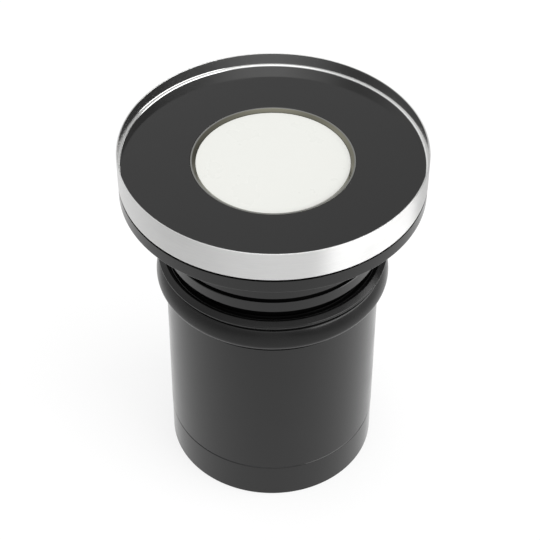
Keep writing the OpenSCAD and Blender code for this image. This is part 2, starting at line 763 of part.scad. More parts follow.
// Cap that closes the sleeve, with a spigot, a cable hole and drain holes
module end_cap() {
    outer_r = sleeve_r - cap_inset;
    spigot_top = seam_z + cap_spigot_h;
    color("#3a3a3a") difference() {
        rotate_extrude() polygon([
            [0, 0], [outer_r - cap_chamfer, 0], [outer_r, cap_chamfer],
            [outer_r, seam_z - seam_chamfer], [outer_r - seam_chamfer, seam_z],
            [cap_spigot_r, seam_z], [cap_spigot_r, seal_z - seal_half],
            [seal_groove_r, seal_z - seal_half], [seal_groove_r, seal_z + seal_half],
            [cap_spigot_r, seal_z + seal_half], [cap_spigot_r, spigot_top - 0.5],
            [cap_spigot_r - 0.5, spigot_top], [cap_bore_r, spigot_top],
            [cap_bore_r, cap_floor_t], [0, cap_floor_t]]);
        translate([0, 0, -cut]) cylinder(d = grommet_hole_d, h = cap_floor_t + cut * 2);
        translate([0, 0, -cut]) cylinder(r = grommet_r + slip * 4, h = grommet_recess + cut);
        around(drain_count, 45) translate([drain_circle_r, 0, -cut])
            cylinder(d = drain_d, h = cap_floor_t + cut * 2, $fn = 32);
    }
}

// Seal ring in the groove of the cap's spigot
seal_z = seam_z + cap_spigot_h / 2;
seal_groove_r = sleeve_bore_r - sliding - cap_seal_t - slip;
seal_half = cap_seal_t / 2 + slip;

module cap_seal() {
    section_r = cap_seal_t / 2;
    color("#101010") round_ring(sleeve_bore_r - sliding - section_r, section_r, seal_z);
}

// Rubber grommet clipped into the cap's hole, clear of the ground
grommet_r = grommet_hole_d / 2 + grommet_flange_w;

module cable_grommet() {
    waist_r = grommet_hole_d / 2 - slip;
    foot_gap = 0.15;
    color("#101010") rotate_extrude() polygon([
        [grommet_bore_d / 2, foot_gap], [grommet_r, foot_gap], [grommet_r, grommet_recess],
        [waist_r, grommet_recess], [waist_r, cap_floor_t], [grommet_r, cap_floor_t],
        [grommet_r - grommet_flange_t / 2, cap_floor_t + grommet_flange_t],
        [grommet_bore_d / 2, cap_floor_t + grommet_flange_t]]);
}

bezel_ring();
cover_plate();
window_trim();
window_lens();
lens_seal();
cover_gasket();
flange_body();
reflector();
lamp_board();
light_chips();
thermal_pad();
heat_plate();
board_screws();
lead_wires();
barrel_seal();
rear_barrel();
grip_rings();
driver_board();
driver_chips();
smoothing_capacitor();
choke_coil();
terminal_block();
gland_washer();
gland_body();
gland_bush();
gland_nut();
sleeve_tube();
grip_collar();
end_cap();
cap_seal();
cable_grommet();
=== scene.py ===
import math
import bmesh
import bpy
from mathutils import Matrix, Vector


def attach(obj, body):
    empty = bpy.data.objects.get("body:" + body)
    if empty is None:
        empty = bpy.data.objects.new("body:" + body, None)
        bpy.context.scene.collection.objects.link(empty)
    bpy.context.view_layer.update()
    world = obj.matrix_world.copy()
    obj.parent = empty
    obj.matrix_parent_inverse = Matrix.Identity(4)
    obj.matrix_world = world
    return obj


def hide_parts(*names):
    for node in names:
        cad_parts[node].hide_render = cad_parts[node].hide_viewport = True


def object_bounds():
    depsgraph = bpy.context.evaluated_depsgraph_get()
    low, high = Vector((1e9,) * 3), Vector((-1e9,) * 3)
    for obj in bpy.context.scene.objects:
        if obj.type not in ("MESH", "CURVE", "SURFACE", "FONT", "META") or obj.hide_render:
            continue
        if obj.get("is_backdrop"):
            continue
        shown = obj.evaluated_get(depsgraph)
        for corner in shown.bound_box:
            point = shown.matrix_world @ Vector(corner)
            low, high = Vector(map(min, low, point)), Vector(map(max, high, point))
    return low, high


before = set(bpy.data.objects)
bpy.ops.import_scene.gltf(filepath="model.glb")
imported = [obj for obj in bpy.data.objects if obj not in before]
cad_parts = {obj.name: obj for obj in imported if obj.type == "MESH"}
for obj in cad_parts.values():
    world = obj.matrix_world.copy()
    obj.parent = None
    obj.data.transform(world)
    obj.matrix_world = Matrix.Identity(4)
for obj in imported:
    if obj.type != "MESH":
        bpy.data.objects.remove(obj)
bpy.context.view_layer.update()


# End cap. A moulded black cup that closes the sleeve's lower end and carries the part
# when it stands. Its spigot is pushed into the tube, and water leaves by four holes.
MM = 0.001  # one millimetre in metres


def turned(name, outline, rounds=(), steps=256, places=(Matrix(),)):
    """A closed outline of (radius, height) in mm, spun about Z. An outline that starts and ends
    on the axis stays open there. rounds holds (radius in mm, corner numbers) to round first, and
    places the matrices that put copies of the shape where they belong."""
    bm = bmesh.new()
    corners = [bm.verts.new((r * MM, 0, z * MM)) for r, z in outline]
    for a, b in zip(corners, corners[1:]):
        bm.edges.new((a, b))
    if outline[0][0] > 0:
        bm.edges.new((corners[-1], corners[0]))
    for radius, numbers in rounds:
        bmesh.ops.bevel(bm, geom=[corners[i] for i in numbers], offset=radius * MM,
                        offset_type="OFFSET", segments=3, profile=0.5, affect="VERTICES",
                        material=-1)
    bmesh.ops.spin(bm, geom=bm.verts[:] + bm.edges[:], cent=(0, 0, 0), axis=(0, 0, 1),
                   angle=2 * math.pi, steps=steps, use_merge=True)
    shape = bm.verts[:] + bm.edges[:] + bm.faces[:]
    for place in places[1:]:
        copy = bmesh.ops.duplicate(bm, geom=shape)["geom"]
        bmesh.ops.transform(bm, matrix=place,
                            verts=[v for v in copy if isinstance(v, bmesh.types.BMVert)])
    bmesh.ops.transform(bm, matrix=places[0],
                        verts=[v for v in shape if isinstance(v, bmesh.types.BMVert)])
    return finished(name, bm)


def finished(name, bm, sharp=35):
    """Turns a bmesh into a piece with closed poles, outward faces and smooth shading."""
    bmesh.ops.remove_doubles(bm, verts=bm.verts, dist=1e-7)
    bmesh.ops.recalc_face_normals(bm, faces=bm.faces)
    mesh = bpy.data.meshes.new(name)
    bm.to_mesh(mesh)
    bm.free()
    mesh.shade_smooth()
    mesh.set_sharp_from_angle(angle=math.radians(sharp))
    piece = bpy.data.objects.new(name, mesh)
    bpy.context.scene.collection.objects.link(piece)
    return piece


def node(tree, kind, links=None, **values):
    """Adds a shader node. values sets its properties, and links its inputs by name."""
    made = tree.nodes.new(kind)
    for key, value in values.items():
        setattr(made, key, value)
    for key, value in (links or {}).items():
        if isinstance(value, bpy.types.NodeSocket):
            tree.links.new(value, made.inputs[key])
        else:
            made.inputs[key].default_value = value
    return made


def new_group(name, inputs, outputs):
    """An empty shader node group with float or vector sockets."""
    group = bpy.data.node_groups.new(name, "ShaderNodeTree")
    for title, kind, value in inputs:
        socket = group.interface.new_socket(title, in_out="INPUT", socket_type=kind)
        if value is not None:
            socket.default_value = value
    for title, kind in outputs:
        group.interface.new_socket(title, in_out="OUTPUT", socket_type=kind)
    return group, node(group, "NodeGroupInput"), node(group, "NodeGroupOutput")


# Moulded grain: fine pits in the skin of plastic and rubber, and soft cloudy patches
grain, given, out = new_group(
    "moulded_grain",
    [("Vector", "NodeSocketVector", None), ("Pit Size", "NodeSocketFloat", 0.0002)],
    [("Pits", "NodeSocketFloat"), ("Patches", "NodeSocketFloat")])
scale = node(grain, "ShaderNodeMath", {0: 1.0, 1: given.outputs["Pit Size"]}, operation="DIVIDE")
pits = node(grain, "ShaderNodeTexNoise", {
    "Vector": given.outputs["Vector"], "Scale": scale.outputs[0], "Detail": 2.0,
    "Roughness": 0.6})
patches = node(grain, "ShaderNodeTexNoise", {
    "Vector": given.outputs["Vector"], "Scale": 170.0, "Detail": 3.0, "Roughness": 0.5})
grain.links.new(pits.outputs["Fac"], out.inputs["Pits"])
grain.links.new(patches.outputs["Fac"], out.inputs["Patches"])


def new_material(name):
    """An empty material, its node tree and the Object coordinates in it."""
    material = bpy.data.materials.new(name)
    material.use_nodes = True
    tree = material.node_tree
    tree.nodes.clear()
    return material, tree, node(tree, "ShaderNodeTexCoord").outputs["Object"]


def moulded(name, dark, light, rough, pit_size=0.22, depth=0.02, specular=0.5):
    """Plastic or rubber with its moulded grain. Colours are linear greys or triples, and the
    pits' size and depth are in mm."""
    material, tree, place = new_material(name)
    marks = node(tree, "ShaderNodeGroup", node_tree=grain)
    marks.inputs["Pit Size"].default_value = pit_size * MM
    tree.links.new(place, marks.inputs["Vector"])
    tones = [tone if isinstance(tone, tuple) else (tone,) * 3 for tone in (dark, light)]
    colour = node(tree, "ShaderNodeMix", {
        "Factor": marks.outputs["Patches"], 6: (*tones[0], 1), 7: (*tones[1], 1)},
        data_type="RGBA")
    roughness = node(tree, "ShaderNodeMapRange", {
        "Value": marks.outputs["Patches"], "From Min": 0.3, "From Max": 0.7,
        "To Min": rough - 0.04, "To Max": rough + 0.04})
    bump = node(tree, "ShaderNodeBump", {
        "Height": marks.outputs["Pits"], "Strength": 0.35, "Distance": depth * MM})
    shader = node(tree, "ShaderNodeBsdfPrincipled", {
        "Base Color": colour.outputs[2], "Roughness": roughness.outputs[0],
        "Specular IOR Level": specular, "Normal": bump.outputs[0]})
    node(tree, "ShaderNodeOutputMaterial", {"Surface": shader.outputs[0]})
    return material


sleeve_plastic = moulded("satin_black_plastic", 0.0015, 0.003, 0.17, depth=0.002, specular=0.41)

cap_radius, cap_floor, seam = 21.55, 2.5, 8.45
spigot_radius, spigot_bore, spigot_top = 20.05, 18.45, 13.05
groove_bottom, groove_middle, groove_half = 18.87, 10.75, 0.6
cap = turned("end_cap_moulding", [
    (7.0, 0), (cap_radius - 0.1, 0), (cap_radius, 0.1), (cap_radius, seam - 0.2),
    (cap_radius - 0.2, seam), (spigot_radius, seam),
    (spigot_radius, groove_middle - groove_half), (groove_bottom, groove_middle - groove_half),
    (groove_bottom, groove_middle + groove_half), (spigot_radius, groove_middle + groove_half),
    (spigot_radius, spigot_top - 0.5), (spigot_radius - 0.5, spigot_top),
    (spigot_bore, spigot_top), (spigot_bore, cap_floor), (5.0, cap_floor), (5.0, 1.0),
    (7.0, 1.0)],
    [(0.05, (1, 2)), (0.1, (3, 4, 12)), (0.8, (13,))])
drain_count, drain_radius, drain_circle = 4, 1.6, 13.2
drills = bmesh.new()
for turn in range(drain_count):
    bmesh.ops.create_cone(
        drills, cap_ends=True, segments=48, radius1=drain_radius * MM,
        radius2=drain_radius * MM, depth=8 * MM,
        matrix=Matrix.Rotation(math.tau * (turn + 0.5) / drain_count, 4, "Z")
        @ Matrix.Translation((drain_circle * MM, 0, 1.5 * MM)))
drills = finished("drain_drills", drills)


def combined(piece, other, how):
    """Joins other to piece, cuts it out or keeps what both share, and removes other."""
    step = piece.modifiers.new(how, "BOOLEAN")
    step.operation, step.solver, step.object = how, "MANIFOLD", other
    sight = bpy.context.evaluated_depsgraph_get()
    mesh = bpy.data.meshes.new_from_object(piece.evaluated_get(sight))
    piece.modifiers.clear()
    mesh.name = piece.name
    mesh.materials.clear()
    piece.data = mesh
    bpy.data.objects.remove(other)
    mesh.set_sharp_from_angle(angle=math.radians(35))


def placed(piece, body, slot, stands_for, *materials):
    """Gives a finished piece its materials and body, and hides the CAD node it replaces. slot is
    not used.
    """
    for material in materials:
        piece.data.materials.append(material)
    piece.modifiers.new("flat_faces_stay_flat", "WEIGHTED_NORMAL").keep_sharp = True
    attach(piece, body)
    if stands_for:
        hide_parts(stands_for)


combined(cap, drills, "DIFFERENCE")
placed(cap, "foot", "sleeve_black", "end_cap", sleeve_plastic)


# Cap seal and cable grommet. The seal is a round rubber ring in the spigot's groove.
# The grommet is a soft rubber ring clipped into the cap's hole, clear of the ground.
seal_rubber = moulded("matt_black_rubber", 0.006, 0.011, 0.62, pit_size=0.15, specular=0.35)


def rubber_ring(name, ring_radius, section_radius, heights):
    """Rings of round section, such as seals, made as one piece."""
    bm = bmesh.new()
    for height in heights:
        circle = bmesh.ops.create_circle(
            bm, cap_ends=False, segments=32, radius=section_radius * MM,
            matrix=Matrix.Translation((ring_radius * MM, 0, height * MM))
            @ Matrix.Rotation(math.pi / 2, 4, "X"))["verts"]
        edges = {edge for vert in circle for edge in vert.link_edges}
        bmesh.ops.spin(bm, geom=[*circle, *edges], cent=(0, 0, 0), axis=(0, 0, 1),
                       angle=2 * math.pi, steps=192, use_merge=True)
    return finished(name, bm, 60)


cap_ring = rubber_ring("cap_seal_ring", 19.47, 0.55, [groove_middle])
placed(cap_ring, "foot", "seal_rubber", "cap_seal", seal_rubber)

grommet = turned("rubber_grommet", [
    (3.3, 0.15), (6.8, 0.15), (6.8, 1.0), (4.95, 1.0), (4.95, cap_floor), (6.8, cap_floor),
    (6.2, 3.7), (3.3, 3.7)], [(0.25, (0, 1, 5, 6, 7))], 128)
placed(grommet, "foot", "seal_rubber", "cable_grommet", seal_rubber)


# Sleeve tube. A plain extruded black tube that stays in the drilled hole, chamfered at the
# seam to the cap, with a ledge inside for the light unit and a turned seat for the collar.
tube_radius, tube_bore, tube_top = 21.6, 20.1, 52.05
seat_radius, seat_foot = 21.2, 44.0
ledge_bore, ledge_top = 17.6, 29.88
tube = turned("sleeve_tube_body", [
    (tube_bore, seam), (tube_radius - 0.2, seam), (tube_radius, seam + 0.2),
    (tube_radius, seat_foot), (seat_radius, seat_foot), (seat_radius, tube_top),
    (tube_bore, tube_top), (tube_bore, ledge_top), (ledge_bore, ledge_top),
    (ledge_bore, 28.4), (tube_bore, 25.9)],
    [(0.06, (1, 2)), (0.03, (3,)), (0.15, (5, 6))])
placed(tube, "sleeve", "sleeve_black", "sleeve_tube", sleeve_plastic)


# Grip collar. A soft moulded rubber collar bonded on the tube's end: a ridge over a broad
# crowned bead, both sloping outwards on their way down, with a dark crease between them.
crown = 8.66
bead = [(14.845 + crown * math.cos(a), 46.45 + crown * math.sin(a))
        for a in (math.radians(2 + 24.4 * i / 8) for i in range(9))]
collar_bore, collar_foot, collar_top = 21.25, 44.25, 52.55
crease_radius, crease_foot, crease_top = 22.3, 50.35, 51.0
collar = turned("rubber_grip_collar", [
    (collar_bore, collar_foot), (tube_radius, collar_foot), (23.35, 46.1), *bead,
    (crease_radius, crease_foot), (crease_radius, crease_top), (22.84, crease_top),
    (23.12, 51.7), (22.05, collar_top), (21.9, collar_top), (collar_bore, 52.1)],
    [(0.4, (2,)), (0.22, (3, 11)), (0.1, (14,)), (0.25, (15,)), (0.05, (16, 17))])
collar_rubber = moulded("collar_rubber", 0.002, 0.004, 0.25, pit_size=0.3, depth=0.003,
                        specular=0.31)
placed(collar, "sleeve", "collar_rubber", "grip_collar", collar_rubber)


# Rear barrel. A black anodised aluminium housing for the driver, cast with cooling fins
# and two bands that hold the grip rings. Its shoulder is the ring seen over the collar.
metal_lines, given, out = new_group(
    "turning_lines",
    [("Vector", "NodeSocketVector", None), ("Line Width", "NodeSocketFloat", 0.0001),
     ("Streaks", "NodeSocketFloat", 6.0)],
    [("Lines", "NodeSocketFloat"), ("Clouds", "NodeSocketFloat")])
parts = node(metal_lines, "ShaderNodeSeparateXYZ", {0: given.outputs["Vector"]})
flat = node(metal_lines, "ShaderNodeCombineXYZ", {
    "X": parts.outputs["X"], "Y": parts.outputs["Y"]})
reach = node(metal_lines, "ShaderNodeVectorMath", {0: flat.outputs[0]}, operation="LENGTH")
heading = node(metal_lines, "ShaderNodeVectorMath", {0: flat.outputs[0]},
               operation="NORMALIZE")
around = node(metal_lines, "ShaderNodeVectorMath", {
    0: heading.outputs[0], "Scale": given.outputs["Streaks"]}, operation="SCALE")
along = node(metal_lines, "ShaderNodeMath", {
    0: parts.outputs["Z"], 1: given.outputs["Line Width"]}, operation="DIVIDE")
across = node(metal_lines, "ShaderNodeMath", {
    0: reach.outputs["Value"], 1: given.outputs["Line Width"]}, operation="DIVIDE")
lift = node(metal_lines, "ShaderNodeCombineXYZ", {"Z": along.outputs[0]})
spot = node(metal_lines, "ShaderNodeVectorMath", {0: around.outputs[0], 1: lift.outputs[0]},
            operation="ADD")
lines = node(metal_lines, "ShaderNodeTexNoise", {
    "Vector": spot.outputs[0], "W": across.outputs[0], "Scale": 1.0, "Detail": 2.0,
    "Roughness": 0.65}, noise_dimensions="4D")
clouds = node(metal_lines, "ShaderNodeTexNoise", {
    "Vector": given.outputs["Vector"], "Scale": 120.0, "Detail": 2.0})
metal_lines.links.new(lines.outputs["Fac"], out.inputs["Lines"])
metal_lines.links.new(clouds.outputs["Fac"], out.inputs["Clouds"])


def turned_metal(name, dark, light, rough, metallic=1.0, line_width=0.09, streaks=6.0,
                 depth=0.004, specular=0.5, turn=0.0):
    """Metal, bare or anodised, with the fine lines that a lathe leaves round the axis."""
    material, tree, place = new_material(name)
    marks = node(tree, "ShaderNodeGroup", node_tree=metal_lines)
    marks.inputs["Line Width"].default_value = line_width * MM
    marks.inputs["Streaks"].default_value = streaks
    tree.links.new(place, marks.inputs["Vector"])
    colour = node(tree, "ShaderNodeMix", {
        "Factor": marks.outputs["Lines"], 6: (*dark, 1), 7: (*light, 1)}, data_type="RGBA")
    roughness = node(tree, "ShaderNodeMapRange", {
        "Value": marks.outputs["Clouds"], "From Min": 0.3, "From Max": 0.7,
        "To Min": rough - 0.03, "To Max": rough + 0.03})
    bump = node(tree, "ShaderNodeBump", {
        "Height": marks.outputs["Lines"], "Strength": 0.4, "Distance": depth * MM})
    shader = node(tree, "ShaderNodeBsdfPrincipled", {
        "Base Color": colour.outputs[2], "Metallic": metallic,
        "Roughness": roughness.outputs[0], "Specular IOR Level": specular,
        "Anisotropic": turn, "Normal": bump.outputs[0]})
    if turn:
        shader.inputs["Anisotropic Rotation"].default_value = 0.25
        round_z = node(tree, "ShaderNodeTangent", direction_type="RADIAL", axis="Z")
        tree.links.new(round_z.outputs[0], shader.inputs["Tangent"])
    node(tree, "ShaderNodeOutputMaterial", {"Surface": shader.outputs[0]})
    return material


anodised = turned_metal("black_anodised", (0.0015,) * 3, (0.003,) * 3, 0.2, metallic=0.0,
                        line_width=0.12, depth=0.001, specular=0.43)
gland_hole, core_radius, band_radius = 6.1, 17.8, 19.5
ring_seat, ring_half = 18.07, 1.05
low_ring, high_ring = 34.45, 50.05
barrel_foot, barrel_floor, board_ledge, plate_ledge = 29.9, 32.9, 45.85, 55.95
shoulder_radius, shoulder_foot, shoulder_top, neck_spigot_top = 21.65, 54.1, 57.05, 61.85
curve = [(20.85 + 0.8 * math.sin(a), shoulder_foot + 0.8 - 0.8 * math.cos(a))
         for a in (math.pi / 2 * i / 10 for i in range(11))]
barrel = turned("rear_barrel_casting", [
    (gland_hole, barrel_foot), (core_radius, barrel_foot), (core_radius, 32.3),
    (band_radius, 32.3), (band_radius, low_ring - ring_half),
    (ring_seat, low_ring - ring_half),
    (ring_seat, low_ring + ring_half), (band_radius, low_ring + ring_half),
    (band_radius, 36.6), (core_radius, 36.6), (core_radius, 47.9), (band_radius, 47.9),
    (band_radius, high_ring - ring_half), (ring_seat, high_ring - ring_half),
    (ring_seat, high_ring + ring_half), (band_radius, high_ring + ring_half),
    (band_radius, shoulder_foot), *curve, (shoulder_radius, shoulder_top - 0.1),
    (shoulder_radius - 0.1, shoulder_top), (19.3, shoulder_top), (19.3, neck_spigot_top),
    (17.3, neck_spigot_top), (17.3, plate_ledge), (16.3, plate_ledge), (16.3, board_ledge),
    (15.1, board_ledge), (15.1, barrel_floor), (gland_hole, barrel_floor)],
    [(0.2, (1, 4, 7, 12, 15))])
fin_count, fin_depth, fin_width, fin_circle = 24, 2.2, 1.4, 18.38
fins = bmesh.new()
for turn in range(fin_count):
    for low, high in ((barrel_foot, 32.8), (36.2, 48.4)):
        fin = bmesh.ops.create_cube(fins, size=1.0)["verts"]
        bmesh.ops.scale(fins, verts=fin,
                        vec=(fin_depth * MM, fin_width * MM, (high - low) * MM))
        bmesh.ops.translate(fins, verts=fin,
                            vec=(fin_circle * MM, 0, (low + high) / 2 * MM))
        bmesh.ops.rotate(fins, verts=fin, cent=(0, 0, 0),
                         matrix=Matrix.Rotation(math.tau * turn / fin_count, 3, "Z"))
combined(barrel, finished("cooling_fins", fins), "UNION")
placed(barrel, "light", "body_black", "rear_barrel", anodised)


# Grip rings and barrel seal. Two rubber rings hold the unit in the sleeve's bore, and a
# flat seal fills the groove where the barrel is screwed into the neck.
grips = rubber_ring("rubber_grip_rings", 19.07, 0.95, [low_ring, high_ring])
placed(grips, "light", "seal_rubber", "grip_rings", seal_rubber)

neck_foot = 58.15
groove_seal = turned("neck_seal", [
    (19.35, shoulder_top), (20.45, shoulder_top), (20.45, neck_foot), (19.35, neck_foot)],
    [(0.15, (1, 2))])
placed(groove_seal, "light", "seal_rubber", "barrel_seal", seal_rubber)


# Cable gland. A black nylon gland screwed into the barrel's floor: washer, hexagon body,
# rubber bush and hexagon nut, which squeeze the cable and keep water out.
gland_plastic = moulded("black_nylon", 0.010, 0.016, 0.45, pit_size=0.18)


def hexagon(name, flats, low, high, edge):
    """A hexagon prism between two heights in mm, with both ends turned down at its corners."""
    bm = bmesh.new()
    corner = flats / 2 / math.cos(math.pi / 6)
    bmesh.ops.create_cone(bm, cap_ends=True, segments=6, radius1=corner * MM,
                          radius2=corner * MM, depth=(high - low) * MM,
                          matrix=Matrix.Translation((0, 0, (low + high) / 2 * MM))
                          @ Matrix.Rotation(math.pi / 6, 4, "Z"))
    prism = finished(name, bm)
    combined(prism, turned(name + "_limit", [
        (0, low), (corner - edge, low), (corner + 0.1, low + edge * 0.6),
        (corner + 0.1, high - 0.25), (corner - 0.4, high), (0, high)], steps=96), "INTERSECT")
    return prism


washer_foot, bush_foot, bush_top, bush_bore = 29.1, 19.9, 27.6, 4.25
washer = turned("gland_flat_washer", [
    (gland_hole, washer_foot), (7.5, washer_foot), (7.5, barrel_foot),
    (gland_hole, barrel_foot)], [(0.2, (1, 2))], 96)
thread = [(5.2 - 0.28 * (i % 2), 20.05 + 0.4 * i) for i in range(15)]
gland = turned("gland_body_moulding", [
    (bush_bore, bush_foot), (4.9, bush_foot), *thread, (5.0, 26.3), (6.0, 26.3),
    (6.0, barrel_floor), (3.0, barrel_floor), (3.0, bush_top), (bush_bore, bush_top)],
    steps=96)
collar_nut = hexagon("gland_hexagon", 15.0, 26.1, washer_foot, 0.8)
combined(collar_nut, turned("gland_bore", [
    (0, 25), (bush_bore, 25), (bush_bore, 30), (0, 30)], steps=96), "DIFFERENCE")
combined(gland, collar_nut, "UNION")
bush = turned("gland_rubber_bush", [
    (2.6, bush_foot), (4.2, bush_foot), (4.2, bush_top), (2.6, bush_top)],
    [(0.35, (0, 1, 2, 3))], 96)
nut = hexagon("gland_cap_nut", 14.0, 18.4, 25.9, 1.6)
combined(nut, turned("nut_bore", [
    (0, 17), (3.1, 17), (3.1, bush_foot), (5.3, bush_foot), (5.3, 27), (0, 27)], steps=96),
    "DIFFERENCE")
for piece, material, slot, stands_for in (
        (washer, seal_rubber, "seal_rubber", "gland_washer"),
        (gland, gland_plastic, "gland_black", "gland_body"),
        (bush, seal_rubber, "seal_rubber", "gland_bush"),
        (nut, gland_plastic, "gland_black", "gland_nut")):
    placed(piece, "light", slot, stands_for, material)


# Terminal block. A grey moulded two way block under the driver board. The supply leads go
# into its round holes, and two slotted screws in its side clamp them.
def blocks(name, groups, places=(Matrix(),)):
    """Cuboids with eased edges, as one piece. groups holds one entry for each material: the
    easing in mm, then the low and high corners of its cuboids. places holds the matrices
    that put copies of them where they belong."""
    bm = bmesh.new()
    for index, (edge, boxes) in enumerate(groups):
        old = set(bm.faces)
        for place in places:
            for low, high in boxes:
                box = bmesh.ops.create_cube(bm, size=1.0)["verts"]
                spans = [b - a for a, b in zip(low, high)]
                middle = [(a + b) / 2 for a, b in zip(low, high)]
                bmesh.ops.scale(bm, verts=box, vec=[span * MM for span in spans])
                bmesh.ops.translate(bm, verts=box, vec=[value * MM for value in middle])
                edges = {side for vert in box for side in vert.link_edges}
                bmesh.ops.transform(bm, verts=box, matrix=place)
                bmesh.ops.bevel(bm, geom=list(edges), offset=edge * MM, offset_type="OFFSET",
                                segments=2, profile=0.5, affect="EDGES", material=-1)
        for face in set(bm.faces) - old:
            face.material_index = index
    return finished(name, bm)


block_place = (Matrix.Rotation(math.radians(285), 4, "Z")
               @ Matrix.Translation((9.398 * MM, 0, 41.85 * MM)))
poles, screw_height = (-2.5, 2.5), 0.6
block = blocks("terminal_block_body", [(0.3, [((-3.25, -5, -4), (3.25, 5, 4))])],
               [block_place])
wells = bmesh.new()
for side in poles:
    for radius, depth, shift, turn in (
            (1.4, 4.4, (0, side, -2.2), 0),
            (1.5, 2.0, (3.0, side, screw_height), math.pi / 2)):
        bmesh.ops.create_cone(
            wells, cap_ends=True, segments=48, radius1=radius * MM, radius2=radius * MM,
            depth=depth * MM, matrix=block_place
            @ Matrix.Translation(Vector(shift) * MM) @ Matrix.Rotation(turn, 4, "Y"))
combined(block, finished("wire_holes", wells), "DIFFERENCE")
placed(block, "light", "block_grey", "terminal_block",
       moulded("grey_moulding", 0.52, 0.58, 0.42, pit_size=0.25))

plated = turned_metal("plated_steel", (0.50, 0.50, 0.48), (0.60, 0.60, 0.58), 0.28,
                      line_width=0.05)
clamps = turned("terminal_clamp_screws", [
    (0, 0), (1.1, 0), (1.1, 0.6), (1.35, 0.6), (1.35, 1.2), (0, 1.2)],
    [(0.12, (4,))], 48, [
        block_place @ Matrix.Translation(Vector((1.9, side, screw_height)) * MM)
        @ Matrix.Rotation(math.pi / 2, 4, "Y") for side in poles])
combined(clamps, blocks("screw_slots", [(0.05, [
    ((2.8, side - 1.4, screw_height - 0.2), (3.3, side + 1.4, screw_height + 0.2))
    for side in poles])], [block_place]), "DIFFERENCE")
placed(clamps, "light", "screw_steel", None, plated)


# Choke. A ring core wound with enamelled copper wire, whose turns stand side by side with
# a gap on one side, laid flat under the driver board.
choke_place = (Matrix.Rotation(math.radians(47), 4, "Z")
               @ Matrix.Translation((8.85 * MM, 0, 43.6 * MM)))
core = turned("choke_ring_core", [(2.2, -1.8), (4.3, -1.8), (4.3, 1.8), (2.2, 1.8)],
              [(0.4, (0, 1, 2, 3))], 64, [choke_place])
placed(core, "light", "coil_copper", None,
       moulded("grey_ferrite", 0.03, 0.05, 0.55, pit_size=0.12))

turns, core_middle, wire_radius, loop_radius, stretch = 21, 3.25, 0.22, 1.27, 1.48
winding = bmesh.new()
for turn in range(turns):
    ring = bmesh.ops.create_circle(
        winding, cap_ends=False, segments=8, radius=wire_radius * MM,
        matrix=Matrix.Translation((loop_radius * MM, 0, 0))
        @ Matrix.Rotation(math.pi / 2, 4, "X"))
    shape = ring["verts"] + list({edge for vert in ring["verts"] for edge in vert.link_edges})
    old = set(winding.verts) - set(ring["verts"])
    bmesh.ops.spin(winding, geom=shape, cent=(0, 0, 0), axis=(0, 0, 1), angle=2 * math.pi,
                   steps=24, use_merge=True)
    verts = [vert for vert in winding.verts if vert not in old]
    bmesh.ops.scale(winding, verts=verts, vec=(1.0, stretch, 1.0))
    bmesh.ops.transform(winding, verts=verts, matrix=choke_place
                        @ Matrix.Rotation(math.radians(15 * turn + 30), 4, "Z")
                        @ Matrix.Translation((core_middle * MM, 0, 0))
                        @ Matrix.Rotation(math.pi / 2, 4, "X"))
winding = finished("choke_winding", winding, 60)
placed(winding, "light", "coil_copper", "choke_coil", turned_metal(
    "enamelled_copper", (0.42, 0.15, 0.05), (0.55, 0.21, 0.07), 0.25, line_width=0.3))


# Smoothing capacitor. An aluminium can in a dark blue shrink sleeve, with a crimped groove
# by the driver board that it hangs from, and a bare dished end below.
can_radius, groove_radius, can_end = 4.5, 4.2, 35.35
can = turned("capacitor_can", [
    (0, can_end + 0.15), (2.9, can_end + 0.15), (3.1, can_end), (4.1, can_end),
    (can_radius, can_end + 0.4), (can_radius, 43.9), (groove_radius, 44.2),
    (groove_radius, 44.6), (can_radius, 44.9), (can_radius, board_ledge - 0.3),
    (groove_radius, board_ledge), (0, board_ledge)],
    [(0.25, (4, 5, 6, 7, 8, 9))], 96, [
        Matrix.Rotation(math.radians(165), 4, "Z") @ Matrix.Translation((9.1 * MM, 0, 0))])
for face in can.data.polygons:
    face.material_index = int(face.center.z < (can_end + 0.2) * MM)
placed(can, "light", "can_blue", "smoothing_capacitor", moulded(
    "blue_shrink_sleeve", (0.010, 0.022, 0.06), (0.014, 0.030, 0.08), 0.3, pit_size=0.5),
    plated)


# Driver board. A round green circuit board on its ledge, with copper tracks under its mask
# and solder lands.
tracks, given, out = new_group(
    "copper_tracks",
    [("Vector", "NodeSocketVector", None), ("Pitch", "NodeSocketFloat", 0.002),
     ("Rim", "NodeSocketFloat", 0.016)],
    [("Tracks", "NodeSocketFloat"), ("Lands", "NodeSocketFloat")])
scale = node(tracks, "ShaderNodeMath", {0: 1.0, 1: given.outputs["Pitch"]},
             operation="DIVIDE")
fields = node(tracks, "ShaderNodeTexVoronoi", {
    "Vector": given.outputs["Vector"], "Scale": scale.outputs[0], "Randomness": 1.0},
    voronoi_dimensions="2D", distance="CHEBYCHEV")
course = node(tracks, "ShaderNodeMath", {0: fields.outputs["Color"], 1: 0.5},
              operation="GREATER_THAN")
spot = node(tracks, "ShaderNodeSeparateXYZ", {0: given.outputs["Vector"]})
side = node(tracks, "ShaderNodeMix", {
    "Factor": course.outputs[0], 2: spot.outputs["X"], 3: spot.outputs["Y"]})
count = node(tracks, "ShaderNodeMath", {0: side.outputs[0], 1: scale.outputs[0]},
             operation="MULTIPLY")
wave = node(tracks, "ShaderNodeMath", {0: count.outputs[0], 1: 0.4}, operation="PINGPONG")
runs = node(tracks, "ShaderNodeMapRange", {
    "Value": wave.outputs[0], "From Min": 0.12, "From Max": 0.16})
grid = node(tracks, "ShaderNodeTexVoronoi", {
    "Vector": given.outputs["Vector"], "Scale": scale.outputs[0], "Randomness": 0.0},
    voronoi_dimensions="2D")
